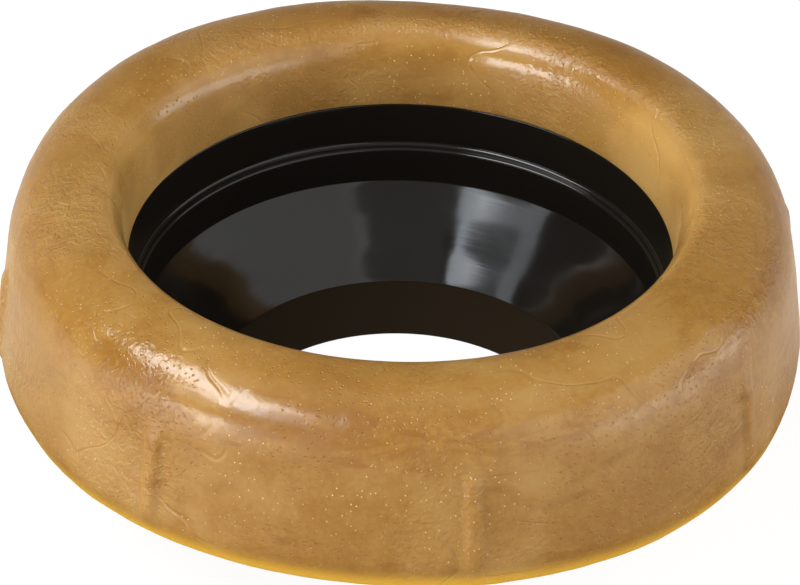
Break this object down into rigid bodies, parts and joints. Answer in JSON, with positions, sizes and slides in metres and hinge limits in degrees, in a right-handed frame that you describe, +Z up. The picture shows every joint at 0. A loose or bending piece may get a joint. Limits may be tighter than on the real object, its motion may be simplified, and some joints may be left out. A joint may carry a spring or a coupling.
{
  "type": "toilet pan seal",
  "caption": "Soft wax ring with a rounded crown and a stepped black plastic horn in its bore, which seals a toilet pan to the drain pipe below it.",
  "frame": {"origin": "centre of the horn's end face, on the surface that the seal stands on", "axes": "+Z up along the bore, from the drain to the pan; -Y faces the viewer and +X is on the viewer's right"},
  "size_m": [0.1338, 0.1338, 0.0513],
  "materials": {
    "wax": "amber petroleum wax, smooth and waxy, with a soft sheen, small pits and wrinkles",
    "horn_plastic": "glossy black moulded polyethylene with fine rings on the cone"
  },
  "bodies": {
    "root": {"wax_ring": "wax", "horn": "horn_plastic"}
  },
  "joints": []
}
